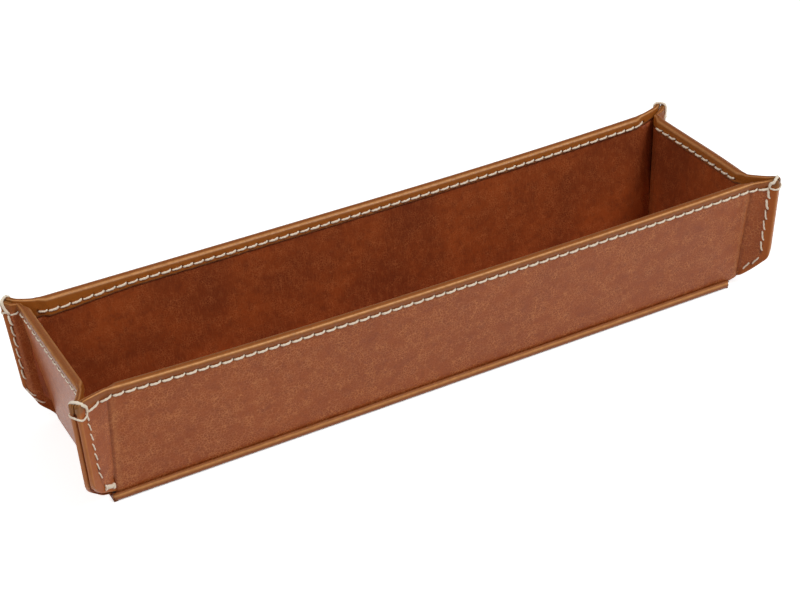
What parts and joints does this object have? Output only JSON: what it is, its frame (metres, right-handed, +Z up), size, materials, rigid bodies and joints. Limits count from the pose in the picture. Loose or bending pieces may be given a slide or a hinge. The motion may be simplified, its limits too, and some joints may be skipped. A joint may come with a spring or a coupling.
{
  "type": "pen tray",
  "caption": "Long open leather desk tray for pens, with flared stiffened walls, turned stitched rim and pinched, stitched corner ears.",
  "frame": {"origin": "centre of the underside, on the surface the tray rests on", "axes": "+X along the tray's length, to the right seen from the front; +Y from the front wall towards the back wall; +Z up"},
  "size_m": [0.28, 0.0782, 0.0503],
  "materials": {
    "outer_leather": "semi-gloss tan leather with fine grain",
    "lining_leather": "satin red-brown lining leather",
    "greyboard": "matt grey pressed pulp board",
    "needle_thread": "waxed off-white twisted thread",
    "bobbin_thread": "waxed off-white twisted thread"
  },
  "bodies": {
    "root": {"outer_leather": "outer_leather", "lining_leather": "lining_leather", "base_board": "greyboard", "front_wall_board": "greyboard", "back_wall_board": "greyboard", "left_wall_board": "greyboard", "right_wall_board": "greyboard", "front_rim_thread": "needle_thread", "back_rim_thread": "needle_thread", "left_rim_thread": "needle_thread", "right_rim_thread": "needle_thread", "front_rim_bobbin_thread": "bobbin_thread", "back_rim_bobbin_thread": "bobbin_thread", "left_rim_bobbin_thread": "bobbin_thread", "right_rim_bobbin_thread": "bobbin_thread", "front_left_seam_thread": "needle_thread", "front_right_seam_thread": "needle_thread", "back_left_seam_thread": "needle_thread", "back_right_seam_thread": "needle_thread", "front_left_tip_loop": "needle_thread", "front_right_tip_loop": "needle_thread", "back_left_tip_loop": "needle_thread", "back_right_tip_loop": "needle_thread", "front_left_bar_tack": "needle_thread"}
  },
  "joints": []
}
